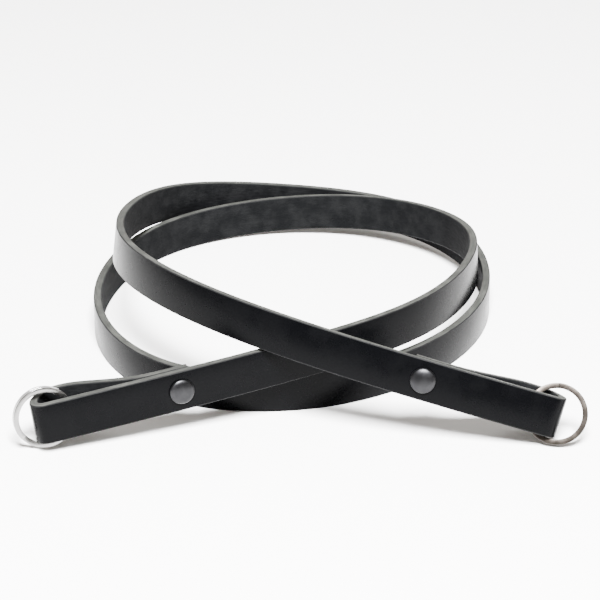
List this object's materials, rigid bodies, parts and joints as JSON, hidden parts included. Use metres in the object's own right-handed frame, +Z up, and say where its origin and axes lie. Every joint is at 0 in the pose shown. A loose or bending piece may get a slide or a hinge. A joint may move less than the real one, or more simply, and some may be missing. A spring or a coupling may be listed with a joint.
{
  "type": "camera strap",
  "caption": "Narrow black leather camera strap standing on its edge in a double loop, with a split ring held in a riveted fold at each end.",
  "frame": {"origin": "on the surface the strap stands on, under the middle of the whole strap", "axes": "+Z up, +Y away from the crossed ends and across the coil, +X towards the end that passes over"},
  "size_m": [0.2234, 0.2296, 0.0499],
  "materials": {
    "black_leather": "smooth matt grain, bare grey cut edges",
    "gunmetal": "polished dark nickel",
    "nickel_steel": "satin nickel plate"
  },
  "bodies": {
    "strap_body": {"strap": "black_leather", "rivet_cap_left": "gunmetal", "rivet_cap_right": "gunmetal", "rivet_back_left": "gunmetal", "rivet_back_right": "gunmetal"},
    "ring_left": {"split_ring_left": "nickel_steel"},
    "ring_right": {"split_ring_right": "nickel_steel"}
  },
  "joints": [
    {"name": "ring_swing_left", "type": "hinge", "parent": "strap_body", "child": "ring_left", "pos_m": [-0.08937, -0.10285, 0.0134], "axis": [-0.1427, 0.0827, 0.9863], "range_deg": [-150, 28]},
    {"name": "ring_swing_right", "type": "hinge", "parent": "strap_body", "child": "ring_right", "pos_m": [0.08915, -0.09794, 0.01373], "axis": [0.2784, 0.2649, 0.9232], "range_deg": [-3, 42]}
  ]
}
